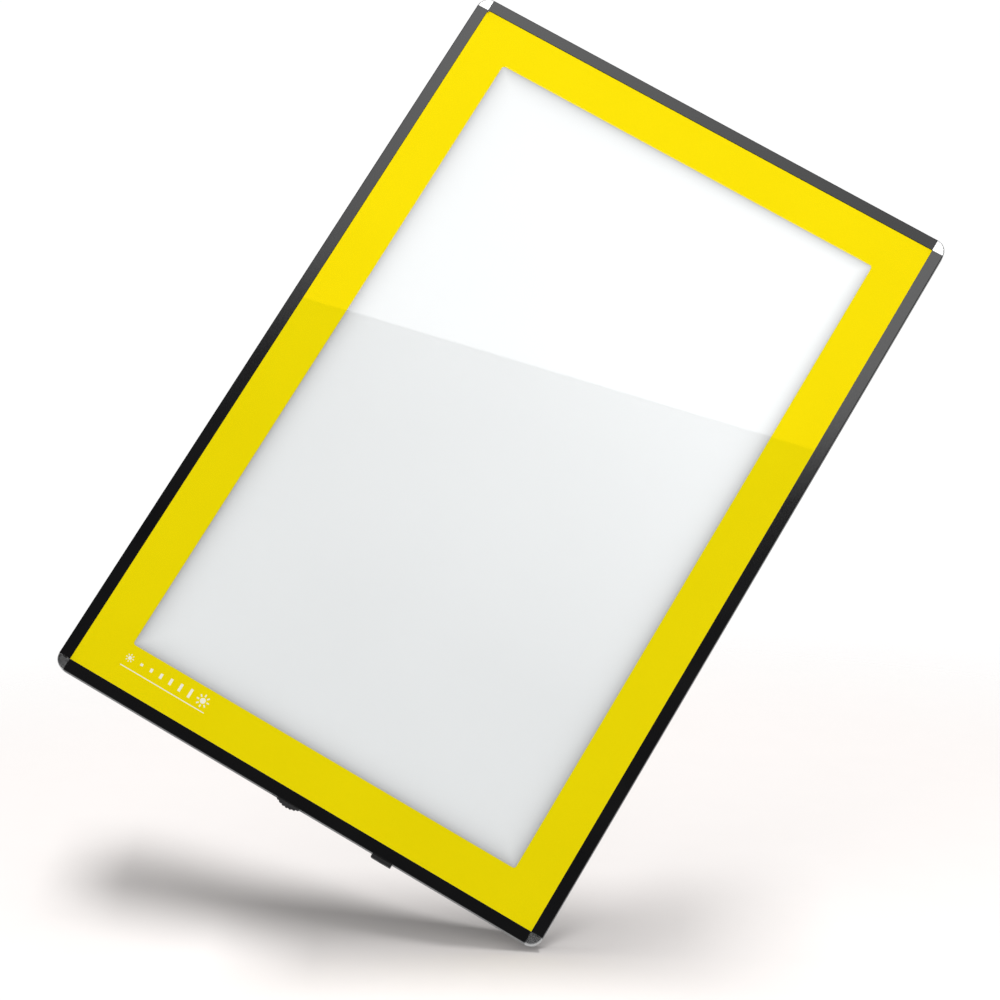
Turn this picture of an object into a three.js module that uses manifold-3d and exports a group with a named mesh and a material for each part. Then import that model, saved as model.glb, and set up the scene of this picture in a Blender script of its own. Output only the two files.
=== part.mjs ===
// A slim LED light table: a glossy clear sheet with a printed border around an opal window, edge-lit
// from both long sides, held in four black aluminium rails with clear corner blocks.
// Millimetres, +Z up. The origin is the middle of the footprint on the table it rests on. The short
// side with the dimmer wheel and the power socket faces -Y, and the lit face looks up.

import * as THREE from 'three';
import { mergeVertices } from 'three/addons/utils/BufferGeometryUtils.js';
import Module from 'manifold-3d';

const wasm = await Module();
wasm.setup();

// ---- Driving dimensions ----

const WINDOW_W = 279.4; // 11 in
const WINDOW_L = 457.2; // 18 in
const WINDOW_CORNER_R = 2;
const BORDER = 28.5; // printed border between the window and the rails
const RAIL_W = 8; // the rail's width seen from the front
const PANEL_T = 9.5; // height of a rail
const FOOT_DROP = 2; // how far the rubber feet stand out below the rails

const PANEL_W = WINDOW_W + 2 * (BORDER + RAIL_W);
const PANEL_L = WINDOW_L + 2 * (BORDER + RAIL_W);
const GAP = 0.1; // assembly clearance between stacked pieces
const SLIT = 0.05; // the smallest gap between two pieces that touch
const QUARTER = Math.PI / 2;

// Rails and corners
const LIP = 1; // thickness of a rail's top and bottom lips
const RAIL_WALL = 2; // thickness of a rail's outer wall
const RAIL_EDGE_R = 0.6;
const TONGUE_L = 14;
const TONGUE_W = 2.2;
const TONGUE_FROM_FACE = RAIL_WALL + 0.15; // a sliding fit inside the rail's outer wall
const CORNER_CHAMFER = 0.9;
const SCREW_CLEARANCE = 0.15;
const SCREW_ALONG = 8; // from a corner block's end face to its screw
const SCREW_FROM_FACE = TONGUE_FROM_FACE + TONGUE_W / 2;
const SCREW_R = 0.8;
const SCREW_HEAD_R = 1.6;
const SCREW_HEAD_T = 0.8;
const SCREW_L = 5;
const SCREW_SUNK = 0.05; // the head's face below the rail's underside
const PILOT_DEPTH = 0.3; // a pilot hole's depth past the screw's point

// Sheets: thickness, from the back panel up to the cover
const SHEET_INSET = 4.5; // from a rail's outer face to the edge of a sheet
const NOTCH_CLEARANCE = 0.2; // between a sheet's notch and the corner block in it
const BACK_T = 1;
const REFLECTOR_T = 0.3;
const GUIDE_T = 3;
const DIFFUSER_T = 0.5;
const PRINT_T = 0.15;

// Heights of each layer's lower face
const BACK_PLANE = FOOT_DROP;
const BACK_Z = BACK_PLANE + LIP + GAP;
const REFLECTOR_Z = BACK_Z + BACK_T + GAP;
const GUIDE_Z = REFLECTOR_Z + REFLECTOR_T + GAP;
const DIFFUSER_Z = GUIDE_Z + GUIDE_T + GAP;
const PRINT_Z = DIFFUSER_Z + DIFFUSER_T + GAP;
const COVER_Z = PRINT_Z + PRINT_T + SLIT;
const TOP_Z = BACK_PLANE + PANEL_T;
const COVER_T = TOP_Z - LIP - GAP - COVER_Z;
const BAY_FLOOR_Z = BACK_Z + BACK_T; // the electronics bay lies between these two
const BAY_ROOF_Z = PRINT_Z;

// Electronics bay behind the front rail, measured from the front rail's outer face
const FRONT_Y = -PANEL_L / 2;
const GUIDE_START = 33;
const STOP_BAR_W = 2.5;
const STOP_BAR_GAP = 0.3; // ahead of the light guide
const FOAM_FROM_TONGUE = 4;

// LED strips on the long rails
const LED_BOARD_T = 1;
const LED_BOARD_H = 4;
const LED_STRIP_L = 482;
const LED_COUNT = 46;
const LED_PITCH = 10;
const LED_SIZE = { along: 3.4, out: 0.7, high: 2.4 };

// Dimmer: a thumbwheel that stands out of a slot in the front rail
const WHEEL_R = 15;
const WHEEL_PROUD = 3; // how far the wheel stands out of the rail
const WHEEL_X = -2.2;
const WHEEL_T = 2;
const WHEEL_TEETH = 36;
const WHEEL_TOOTH = 0.5;
const WHEEL_Y = FRONT_Y + WHEEL_R - WHEEL_PROUD;
const WHEEL_HEADROOM = 0.2;
const WHEEL_Z = BAY_ROOF_Z - WHEEL_HEADROOM - WHEEL_T;
const PIVOT_R = 2;
const SLOT_HALF_W = 12;
const SLOT_CLEARANCE = 0.25; // above and below the wheel

// Power socket
const SOCKET_X = 66;
const SOCKET_Z = 5.7;
const SOCKET_PROUD = 2.3;
const SOCKET_W = 9;
const SOCKET_H = 5;
const SOCKET_IN = 8; // how far its body reaches in from the rail's outer face
const SOCKET_CLEARANCE = 0.2; // around the body in the rail
const PLUG_R = 1.85;
const PIN_R = 0.65;
const BEZEL_W = 14;
const BEZEL_H = 6.8;
const BEZEL_R = 1.2;

// Dimmer board
const TAPE_T = 0.25;
const BOARD_T = 0.8;
const BOARD = { left: -16, right: 56, front: 5, rear: 26 };
const BOARD_Z = BAY_FLOOR_Z + SLIT + TAPE_T + SLIT;
const BOARD_TOP_Z = BOARD_Z + BOARD_T;

const FOOT_R = 6;
const FOOT_CHAMFER = 0.8;
const FOOT_FROM_SIDE = 30;
const WIRE_R = 0.5;

// ---- Materials ----

const material = (color, roughness, metalness, opacity = 1) =>
  new THREE.MeshStandardMaterial({ color, roughness, metalness, opacity, transparent: opacity < 1 });

const MATERIALS = {
  anodised: material(0x1b1b1e, 0.35, 0.7),
  clear: material(0xe8ecee, 0.1, 0, 0.3),
  yellow: material(0xf2e004, 0.25, 0),
  opal: material(0xeceef0, 0.45, 0),
  white: material(0xf4f4f2, 0.6, 0),
  black: material(0x1d1d1f, 0.5, 0),
  rubber: material(0x2a2a2b, 0.85, 0),
  foam: material(0x3a3a3c, 0.95, 0),
  board: material(0x1f5a34, 0.45, 0),
  chip: material(0x161616, 0.4, 0),
  steel: material(0xb9bcc0, 0.3, 1),
  brass: material(0xc9a44a, 0.3, 1),
  redWire: material(0xb3201c, 0.5, 0),
  blackWire: material(0x141414, 0.5, 0),
};

// ---- Solids: booleans and simple shapes ----

function solidOf(geometry) {
  const bare = geometry.clone();
  bare.deleteAttribute('normal');
  bare.deleteAttribute('uv');
  const merged = mergeVertices(bare, 1e-4);
  return new wasm.Manifold(
    new wasm.Mesh({
      numProp: 3,
      vertProperties: new Float32Array(merged.attributes.position.array),
      triVerts: new Uint32Array(merged.index.array),
    }),
  );
}

function geometryOf(solid) {
  const mesh = solid.getMesh();
  return new THREE.BufferGeometry()
    .setAttribute('position', new THREE.BufferAttribute(mesh.vertProperties, 3))
    .setIndex(new THREE.BufferAttribute(mesh.triVerts, 1));
}

function cut(body, ...tools) {
  const left = tools.reduce((solid, tool) => solid.subtract(solidOf(tool)), solidOf(body));
  return geometryOf(left);
}

function join(...bodies) {
  return geometryOf(bodies.map(solidOf).reduce((whole, body) => whole.add(body)));
}

// A box given by its low and high corners.
function block([x0, y0, z0], [x1, y1, z1]) {
  return new THREE.BoxGeometry(x1 - x0, y1 - y0, z1 - z0).translate(
    (x0 + x1) / 2,
    (y0 + y1) / 2,
    (z0 + z1) / 2,
  );
}

// A flat outline made thick, from height z up.
function plate(outline, z, thickness, curveSegments = 6) {
  return new THREE.ExtrudeGeometry(outline, {
    depth: thickness,
    bevelEnabled: false,
    curveSegments,
  }).translate(0, 0, z);
}

// A profile of [radius, height] pairs turned about the vertical axis, listed from the bottom up.
function turned(profile, segments = 32) {
  const points = profile.map(([radius, height]) => new THREE.Vector2(radius, height));
  return new THREE.LatheGeometry(points, segments).rotateX(Math.PI / 2);
}

const drum = (radius, from, to, segments = 32) =>
  turned([[0, from], [radius, from], [radius, to], [0, to]], segments);

// A tool for a round hole, whose flats stand off the axis by the radius.
const bore = (radius, from, to, segments = 32) =>
  drum(radius / Math.cos(Math.PI / segments), from, to, segments);

function roundedRect(width, height, radius, Outline = THREE.Shape) {
  const x = width / 2 - radius;
  const y = height / 2 - radius;
  const outline = new Outline();
  outline.absarc(x, -y, radius, -QUARTER, 0, false);
  outline.absarc(x, y, radius, 0, QUARTER, false);
  outline.absarc(-x, y, radius, QUARTER, 2 * QUARTER, false);
  outline.absarc(-x, -y, radius, 2 * QUARTER, 3 * QUARTER, false);
  outline.closePath();
  return outline;
}

// ---- The assembly ----

const table = new THREE.Group();

function add(name, geometry, look, position = [0, 0, 0], turn = 0) {
  const mesh = new THREE.Mesh(geometry, MATERIALS[look]);
  mesh.name = name;
  mesh.position.set(...position);
  mesh.rotation.z = turn;
  table.add(mesh);
}

// Each side's outer face, as a place and a turn for what is modelled on the front side.
const SIDES = {
  front: { at: [0, -PANEL_L / 2, BACK_PLANE], turn: 0 },
  right: { at: [PANEL_W / 2, 0, BACK_PLANE], turn: QUARTER },
  rear: { at: [0, PANEL_L / 2, BACK_PLANE], turn: 2 * QUARTER },
  left: { at: [-PANEL_W / 2, 0, BACK_PLANE], turn: -QUARTER },
};
const CORNERS = {
  front_left: { at: [-PANEL_W / 2, -PANEL_L / 2, BACK_PLANE], turn: 0 },
  front_right: { at: [PANEL_W / 2, -PANEL_L / 2, BACK_PLANE], turn: QUARTER },
  rear_right: { at: [PANEL_W / 2, PANEL_L / 2, BACK_PLANE], turn: 2 * QUARTER },
  rear_left: { at: [-PANEL_W / 2, PANEL_L / 2, BACK_PLANE], turn: -QUARTER },
};

// ---- Rails: U-shaped extrusions, square cut, one length on each side ----

function railProfile() {
  const outline = new THREE.Shape();
  outline.moveTo(RAIL_W, 0);
  outline.lineTo(RAIL_W, LIP);
  outline.lineTo(RAIL_WALL, LIP);
  outline.lineTo(RAIL_WALL, PANEL_T - LIP);
  outline.lineTo(RAIL_W, PANEL_T - LIP);
  outline.lineTo(RAIL_W, PANEL_T);
  outline.absarc(RAIL_EDGE_R, PANEL_T - RAIL_EDGE_R, RAIL_EDGE_R, QUARTER, 2 * QUARTER, false);
  outline.absarc(RAIL_EDGE_R, RAIL_EDGE_R, RAIL_EDGE_R, 2 * QUARTER, 3 * QUARTER, false);
  return outline;
}

// A countersunk hole through the bottom lip, for a corner block's screw.
function countersink(x) {
  const head = SCREW_HEAD_R + SCREW_CLEARANCE;
  const shank = SCREW_R + SCREW_CLEARANCE;
  const seat = SCREW_HEAD_T + SCREW_CLEARANCE;
  const profile = [[0, -1], [head, -1], [head, SCREW_CLEARANCE], [shank, seat]];
  return turned([...profile, [shank, LIP + 1], [0, LIP + 1]], 16).translate(x, SCREW_FROM_FACE, 0);
}

// Along X, outer face at y = 0, underside at z = 0.
function rail(length, ...openings) {
  const bar = plate(railProfile(), -length / 2, length)
    .rotateX(QUARTER)
    .rotateZ(QUARTER);
  const screwX = length / 2 - SCREW_ALONG;
  return cut(bar, countersink(-screwX), countersink(screwX), ...openings);
}

const wheelSlot = block(
  [WHEEL_X - SLOT_HALF_W, -1, WHEEL_Z - SLOT_CLEARANCE - BACK_PLANE],
  [WHEEL_X + SLOT_HALF_W, RAIL_WALL + 1, WHEEL_Z + WHEEL_T + SLOT_CLEARANCE - BACK_PLANE],
);
const socketHoleHalfW = SOCKET_W / 2 + SOCKET_CLEARANCE;
const socketHoleTop = SOCKET_Z + SOCKET_H / 2 + SOCKET_CLEARANCE - BACK_PLANE;
const socketHole = block(
  [SOCKET_X - socketHoleHalfW, -1, LIP],
  [SOCKET_X + socketHoleHalfW, RAIL_WALL + 1, socketHoleTop],
);
const SHORT_RAIL_L = PANEL_W - 2 * RAIL_W;
const LONG_RAIL_L = PANEL_L - 2 * RAIL_W;

add('rail_front', rail(SHORT_RAIL_L, wheelSlot, socketHole), 'anodised', SIDES.front.at);
add('rail_rear', rail(SHORT_RAIL_L), 'anodised', SIDES.rear.at, SIDES.rear.turn);
add('rail_left', rail(LONG_RAIL_L), 'anodised', SIDES.left.at, SIDES.left.turn);
add('rail_right', rail(LONG_RAIL_L), 'anodised', SIDES.right.at, SIDES.right.turn);

// ---- Corner blocks: a clear quarter drum with a tongue into each rail ----

function cornerBlock() {
  const size = RAIL_W - SLIT;
  const radius = RAIL_W;
  const waist = radius - CORNER_CHAMFER;
  const round = turned(
    [
      [0, 0],
      [waist, 0],
      [radius, CORNER_CHAMFER],
      [radius, PANEL_T - CORNER_CHAMFER],
      [waist, PANEL_T],
      [0, PANEL_T],
    ],
    48,
  ).translate(RAIL_W, RAIL_W, 0);
  const quarter = geometryOf(
    solidOf(round).intersect(solidOf(block([-1, -1, -1], [size, size, PANEL_T + 1]))),
  );
  const from = TONGUE_FROM_FACE;
  const to = from + TONGUE_W;
  const low = LIP + GAP;
  const high = PANEL_T - LIP - GAP;
  const end = RAIL_W + TONGUE_L;
  const tongueX = block([size - 1, from, low], [end, to, high]);
  const tongueY = block([from, size - 1, low], [to, end, high]);
  const pilot = bore(SCREW_R + SLIT, 0, SCREW_L + PILOT_DEPTH, 16);
  const along = RAIL_W + SCREW_ALONG;
  return cut(
    join(quarter, tongueX, tongueY),
    pilot.clone().translate(along, SCREW_FROM_FACE, 0),
    pilot.clone().translate(SCREW_FROM_FACE, along, 0),
  );
}

// Countersunk screw, head flush with the rail's underside.
function cornerScrew() {
  return turned(
    [
      [0, SCREW_SUNK],
      [SCREW_HEAD_R, SCREW_SUNK],
      [SCREW_HEAD_R, SCREW_SUNK + 0.1],
      [SCREW_R, SCREW_HEAD_T],
      [SCREW_R, SCREW_L - 0.5],
      [SCREW_R / 2, SCREW_L],
      [0, SCREW_L],
    ],
    16,
  );
}

for (const [name, { at, turn }] of Object.entries(CORNERS)) {
  add(`corner_${name}`, cornerBlock(), 'clear', at, turn);
  const along = RAIL_W + SCREW_ALONG;
  const screwA = cornerScrew().translate(along, SCREW_FROM_FACE, 0);
  const screwB = cornerScrew().translate(SCREW_FROM_FACE, along, 0);
  add(`screw_${name}_a`, screwA, 'steel', at, turn);
  add(`screw_${name}_b`, screwB, 'steel', at, turn);
}

// ---- Sheets: all but the light guide's group fill the frame, with their corners notched ----

// From the front edge, given by its distance from the front rail's face, to the rear rail.
function sheetOutline(frontInset, notchFront) {
  const x = PANEL_W / 2 - SHEET_INSET;
  const front = FRONT_Y + frontInset;
  const rear = PANEL_L / 2 - SHEET_INSET;
  const notch = RAIL_W - SHEET_INSET + NOTCH_CLEARANCE;
  const outline = new THREE.Shape();
  if (notchFront) {
    outline.moveTo(-x, front + notch);
    outline.lineTo(-x + notch, front + notch);
    outline.lineTo(-x + notch, front);
    outline.lineTo(x - notch, front);
    outline.lineTo(x - notch, front + notch);
    outline.lineTo(x, front + notch);
  } else {
    outline.moveTo(-x, front);
    outline.lineTo(x, front);
  }
  outline.lineTo(x, rear - notch);
  outline.lineTo(x - notch, rear - notch);
  outline.lineTo(x - notch, rear);
  outline.lineTo(-x + notch, rear);
  outline.lineTo(-x + notch, rear - notch);
  outline.lineTo(-x, rear - notch);
  outline.closePath();
  return outline;
}

const fullSheet = () => sheetOutline(SHEET_INSET, true);
const guideSheet = () => sheetOutline(GUIDE_START, false);

function borderPrint() {
  const outline = fullSheet();
  outline.holes.push(roundedRect(WINDOW_W, WINDOW_L, WINDOW_CORNER_R, THREE.Path));
  return plate(outline, PRINT_Z, PRINT_T);
}

// The back panel leaves room at its front edge for the socket's body.
function backPanel() {
  const clearance = 0.3;
  const notch = block(
    [SOCKET_X - SOCKET_W / 2 - clearance, FRONT_Y, BACK_Z - 1],
    [SOCKET_X + SOCKET_W / 2 + clearance, FRONT_Y + SOCKET_IN + clearance, BACK_Z + BACK_T + 1],
  );
  return cut(plate(fullSheet(), BACK_Z, BACK_T), notch);
}

add('cover_sheet', plate(fullSheet(), COVER_Z, COVER_T), 'clear');
add('border_print', borderPrint(), 'yellow');
add('diffuser_sheet', plate(guideSheet(), DIFFUSER_Z, DIFFUSER_T), 'opal');
add('light_guide', plate(guideSheet(), GUIDE_Z, GUIDE_T), 'clear');
add('reflector_sheet', plate(guideSheet(), REFLECTOR_Z, REFLECTOR_T), 'white');
add('back_panel', backPanel(), 'black');

// ---- Stop bar at the light guide's front end, and foam at its rear end ----

const stopBarX = PANEL_W / 2 - SHEET_INSET - 1;
const stopBarRear = FRONT_Y + GUIDE_START - STOP_BAR_GAP;
add(
  'guide_stop_bar',
  block(
    [-stopBarX, stopBarRear - STOP_BAR_W, BAY_FLOOR_Z + GAP],
    [stopBarX, stopBarRear, BAY_ROOF_Z - GAP],
  ),
  'white',
);

const foamX = SHORT_RAIL_L / 2 - TONGUE_L - FOAM_FROM_TONGUE;
const foamRear = PANEL_L / 2 - TONGUE_FROM_FACE;
add(
  'rear_foam_strip',
  block([-foamX, foamRear - TONGUE_W, GUIDE_Z], [foamX, foamRear, GUIDE_Z + GUIDE_T]),
  'foam',
);

// ---- LED strips: a narrow board on the inside of each long rail, with its LEDs soldered on ----

// Along X, with the rail's outer face at y = 0 and the strip's LEDs facing +Y.
function ledStrip() {
  const back = RAIL_WALL + GAP;
  const face = back + LED_BOARD_T;
  const low = REFLECTOR_Z - BACK_PLANE;
  const middle = low + LED_BOARD_H / 2;
  const board = block([-LED_STRIP_L / 2, back, low], [LED_STRIP_L / 2, face, low + LED_BOARD_H]);
  const leds = Array.from({ length: LED_COUNT }, (_, i) => {
    const x = (i - (LED_COUNT - 1) / 2) * LED_PITCH;
    return block(
      [x - LED_SIZE.along / 2, face - 0.1, middle - LED_SIZE.high / 2],
      [x + LED_SIZE.along / 2, face + LED_SIZE.out, middle + LED_SIZE.high / 2],
    );
  });
  return join(board, ...leds);
}

add('led_strip_left', ledStrip(), 'white', SIDES.left.at, SIDES.left.turn);
add('led_strip_right', ledStrip(), 'white', SIDES.right.at, SIDES.right.turn);

// ---- Dimmer: base and pivot on the board, knurled wheel, wiper and retaining screw ----

const DIMMER_BASE_Z = BOARD_TOP_Z + SLIT;
const DIMMER_BASE_T = 0.6;
const DIMMER_BASE_R = 6;
const PIVOT_TOP_Z = WHEEL_Z + 1.2;
const RECESS = { inner: 2.8, outer: 5.9, depth: 0.7 }; // under the wheel, for the wiper
const COUNTERBORE = { r: 3.2, depth: 0.75 };
const STOP = { inner: 6.4, outer: 8, half: 2.5, armHalf: 1.8 }; // end stop on the base, and its arm
const TAB = { half: 1, drop: 0.45 }; // the wheel's tab, which meets the stop 150 degrees either way
const INDEX_DOT = { r: 0.8, depth: 0.3, fromRim: 2.4 };
const WIPER = { t: 0.25, fromRoof: 0.35, inner: RECESS.inner + 0.3, outer: RECESS.outer - 0.4 };
const FINGER = { inner: 3.4, outer: 4.2, half: 0.5 };
const PIVOT_HEAD = { r: 2.7, crown: 2.3, rim: 0.4, t: 0.6 };

function dimmerBase() {
  const top = DIMMER_BASE_Z + DIMMER_BASE_T;
  const disc = drum(DIMMER_BASE_R, DIMMER_BASE_Z, top);
  const post = drum(PIVOT_R, DIMMER_BASE_Z, PIVOT_TOP_Z);
  const arm = block([-STOP.armHalf, DIMMER_BASE_R - 1, DIMMER_BASE_Z], [STOP.armHalf, STOP.outer, top]);
  const stop = block([-STOP.half, STOP.inner, DIMMER_BASE_Z], [STOP.half, STOP.outer, WHEEL_Z - GAP]);
  const pilot = bore(SCREW_R + SLIT, DIMMER_BASE_Z + DIMMER_BASE_T, PIVOT_TOP_Z + 1, 16);
  return cut(join(disc, post, arm, stop), pilot);
}

function knurledOutline() {
  const outline = new THREE.Shape();
  for (let i = 0; i < 2 * WHEEL_TEETH; i++) {
    const angle = (i * Math.PI) / WHEEL_TEETH;
    const radius = WHEEL_R - (i % 2 ? WHEEL_TOOTH : 0);
    const point = [radius * Math.cos(angle), radius * Math.sin(angle)];
    if (i === 0) {
      outline.moveTo(...point);
    } else {
      outline.lineTo(...point);
    }
  }
  outline.closePath();
  return outline;
}

function dimmerWheel() {
  const top = WHEEL_Z + WHEEL_T;
  const disc = plate(knurledOutline(), WHEEL_Z, WHEEL_T);
  const tab = block(
    [-TAB.half, -STOP.outer, WHEEL_Z - TAB.drop],
    [TAB.half, -STOP.inner, WHEEL_Z + 0.1],
  );
  const roof = WHEEL_Z + RECESS.depth;
  const recess = turned([
    [RECESS.inner, WHEEL_Z - 1],
    [RECESS.outer, WHEEL_Z - 1],
    [RECESS.outer, roof],
    [RECESS.inner, roof],
    [RECESS.inner, WHEEL_Z - 1],
  ]);
  const pivotBore = bore(PIVOT_R + SLIT, WHEEL_Z - 1, top + 1);
  const counterbore = bore(COUNTERBORE.r, top - COUNTERBORE.depth, top + 1);
  const dotY = -(WHEEL_R - INDEX_DOT.fromRim);
  const indexDot = bore(INDEX_DOT.r, top - INDEX_DOT.depth, top + 1, 12).translate(0, dotY, 0);
  return cut(join(disc, tab), recess, pivotBore, counterbore, indexDot);
}

function dimmerWiper() {
  const low = WHEEL_Z + RECESS.depth - WIPER.fromRoof;
  const washer = turned([
    [WIPER.inner, low],
    [WIPER.outer, low],
    [WIPER.outer, low + WIPER.t],
    [WIPER.inner, low + WIPER.t],
    [WIPER.inner, low],
  ]);
  const fingerZ = DIMMER_BASE_Z + DIMMER_BASE_T + GAP;
  const finger = block([FINGER.inner, -FINGER.half, fingerZ], [FINGER.outer, FINGER.half, low + 0.1]);
  return join(washer, finger, finger.clone().rotateZ(Math.PI));
}

function pivotScrew() {
  const underHead = PIVOT_TOP_Z + GAP;
  const point = DIMMER_BASE_Z + DIMMER_BASE_T + PILOT_DEPTH;
  return turned([
    [0, point],
    [SCREW_R, point],
    [SCREW_R, underHead],
    [PIVOT_HEAD.r, underHead],
    [PIVOT_HEAD.r, underHead + PIVOT_HEAD.rim],
    [PIVOT_HEAD.crown, underHead + PIVOT_HEAD.t],
    [0, underHead + PIVOT_HEAD.t],
  ]);
}

const dimmerAt = [WHEEL_X, WHEEL_Y, 0];
add('dimmer_base', dimmerBase(), 'black', dimmerAt);
add('dimmer_wheel', dimmerWheel(), 'black', dimmerAt);
add('dimmer_wiper', dimmerWiper(), 'brass', dimmerAt);
add('dimmer_pivot_screw', pivotScrew(), 'steel', dimmerAt);

// ---- Dimmer board with its parts, taped to the back panel ----

const boardFront = FRONT_Y + BOARD.front;
const boardRear = FRONT_Y + BOARD.rear;
const tapeEdge = 2;
add(
  'board_tape',
  block(
    [BOARD.left + tapeEdge, boardFront + tapeEdge, BAY_FLOOR_Z + SLIT],
    [BOARD.right - tapeEdge, boardRear - tapeEdge, BAY_FLOOR_Z + SLIT + TAPE_T],
  ),
  'foam',
);
add(
  'dimmer_board',
  block([BOARD.left, boardFront, BOARD_Z], [BOARD.right, boardRear, BOARD_TOP_Z]),
  'board',
);

// A part standing on the board, by its middle in X, its distance from the front face, and its size.
function onBoard(name, x, fromFront, [width, depth, height], look) {
  const y = FRONT_Y + fromFront;
  const z = BOARD_TOP_Z + SLIT;
  const low = [x - width / 2, y - depth / 2, z];
  const high = [x + width / 2, y + depth / 2, z + height];
  add(name, block(low, high), look);
}

onBoard('board_inductor', 24, 13, [6, 6, 2.6], 'chip');
onBoard('board_driver_chip', 34, 12, [5, 4, 1.5], 'chip');
onBoard('board_capacitor', 44, 12, [6.2, 4.2, 2.4], 'brass');
onBoard('board_led_connector', 40, 21.5, [10, 4, 2.6], 'white');

// ---- Power socket: body with a round hole, centre pin, side contact, and the bezel outside ----

const socketAt = [SOCKET_X, FRONT_Y, SOCKET_Z];
const SPRING = { from: 1.7, t: 0.3, high: 1.4 };
const SOCKET_TAIL = 1.5;
const SOCKET_FLOOR = 1.5;
const CONTACT_CLEARANCE = 0.15;
const PIN_TIP = { y: -0.8, share: 0.6, taper: 0.5 };

// Along Y, from y = a to y = b, made by laying a vertical drum down.
const drumAlongY = (make) => make.rotateX(-QUARTER);

function socketBody() {
  const shell = block(
    [-SOCKET_W / 2, -SOCKET_PROUD, -SOCKET_H / 2],
    [SOCKET_W / 2, SOCKET_IN, SOCKET_H / 2],
  );
  const plugHole = drumAlongY(bore(PLUG_R, -SOCKET_PROUD - 1, SOCKET_IN - SOCKET_FLOOR));
  const pinHole = drumAlongY(bore(PIN_R + SLIT, 0, SOCKET_IN + 1, 16));
  const slotHalfH = SPRING.high / 2 + CONTACT_CLEARANCE;
  const contactSlot = block(
    [SPRING.from - CONTACT_CLEARANCE, 0, -slotHalfH],
    [SPRING.from + SPRING.t + CONTACT_CLEARANCE, SOCKET_IN + 1, slotHalfH],
  );
  return cut(shell, plugHole, pinHole, contactSlot);
}

function socketPin() {
  const end = SOCKET_IN + SOCKET_TAIL;
  const profile = [[0, PIN_TIP.y], [PIN_R * PIN_TIP.share, PIN_TIP.y], [PIN_R, PIN_TIP.y + PIN_TIP.taper]];
  return drumAlongY(turned([...profile, [PIN_R, end], [0, end]], 16));
}

function socketBezel() {
  const around = 2 * 0.15;
  const frame = roundedRect(BEZEL_W, BEZEL_H, BEZEL_R);
  frame.holes.push(roundedRect(SOCKET_W + around, SOCKET_H + around, 0.2, THREE.Path));
  return plate(frame, 0, SOCKET_PROUD - SLIT, 4)
    .rotateX(QUARTER)
    .translate(0, -SLIT, 0);
}

add('socket_body', socketBody(), 'black', socketAt);
add('socket_pin', socketPin(), 'steel', socketAt);
add(
  'socket_contact',
  block(
    [SPRING.from, 0.5, -SPRING.high / 2],
    [SPRING.from + SPRING.t, SOCKET_IN + SOCKET_TAIL, SPRING.high / 2],
  ),
  'brass',
  socketAt,
);
add('socket_bezel', socketBezel(), 'black', socketAt);

// ---- Wires: points are [x, distance from the front face, z] ----

function wire(name, look, points) {
  const path = new THREE.CatmullRomCurve3(
    points.map(([x, fromFront, z]) => new THREE.Vector3(x, FRONT_Y + fromFront, z)),
    false,
    'centripetal',
  );
  const section = new THREE.Shape().absarc(0, 0, WIRE_R, 0, 2 * Math.PI, false);
  const geometry = new THREE.ExtrudeGeometry(section, {
    steps: 6 * (points.length - 1),
    extrudePath: path,
    curveSegments: 3,
  });
  add(name, geometry, look);
}

const upper = BOARD_TOP_Z + 1.9;
const lower = BOARD_TOP_Z + 0.7;
const socketEnd = SOCKET_IN + SOCKET_TAIL + 0.2;
const busY = 28.4; // the wires to the left strip pass behind the wheel
const stripX = PANEL_W / 2 - RAIL_WALL - GAP - LED_BOARD_T - WIRE_R - 0.2;

wire('wire_supply_positive', 'redWire', [
  [SOCKET_X, socketEnd, SOCKET_Z],
  [SOCKET_X - 2, 13.5, SOCKET_Z + 0.3],
  [58, 14.5, lower + 0.2],
  [52, 14, lower],
]);
wire('wire_supply_negative', 'blackWire', [
  [SOCKET_X + SPRING.from + 0.15, socketEnd, SOCKET_Z],
  [SOCKET_X + 1, 16.5, SOCKET_Z + 0.3],
  [58, 18, lower + 0.2],
  [52, 17.5, lower],
]);
wire('wire_left_positive', 'redWire', [
  [37, 24.2, upper],
  [30, 27.6, upper],
  [16, busY, upper],
  [-80, busY, upper],
  [-stripX + 8, busY, upper],
  [-stripX, 26, upper],
]);
wire('wire_left_negative', 'blackWire', [
  [39.5, 24.2, lower],
  [33, 27.8, lower],
  [16, busY, lower],
  [-80, busY, lower],
  [-stripX + 8, busY, lower],
  [-stripX, 26, lower],
]);
wire('wire_right_positive', 'redWire', [
  [43.5, 24.2, upper],
  [52, busY, upper],
  [110, busY, upper],
  [stripX - 8, busY, upper],
  [stripX, 26, upper],
]);
wire('wire_right_negative', 'blackWire', [
  [41.5, 24.2, lower],
  [50, busY, lower],
  [110, busY, lower],
  [stripX - 8, busY, lower],
  [stripX, 26, lower],
]);

// ---- Rubber feet, stuck to the back panel inside the rails ----

function foot() {
  const top = BACK_Z - SLIT;
  const sole = FOOT_R - FOOT_CHAMFER;
  return turned([[0, 0], [sole, 0], [FOOT_R, FOOT_CHAMFER], [FOOT_R, top], [0, top]], 32);
}

for (const [name, { at }] of Object.entries(CORNERS)) {
  const x = at[0] - Math.sign(at[0]) * FOOT_FROM_SIDE;
  const y = at[1] - Math.sign(at[1]) * FOOT_FROM_SIDE;
  add(`foot_${name}`, foot(), 'rubber', [x, y, 0]);
}

export default table;
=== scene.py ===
"""Looks of the light table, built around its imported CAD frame. Metres, in the frame's own axes."""

import math

import bmesh
import bpy
from mathutils import Matrix, Quaternion, Vector


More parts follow.
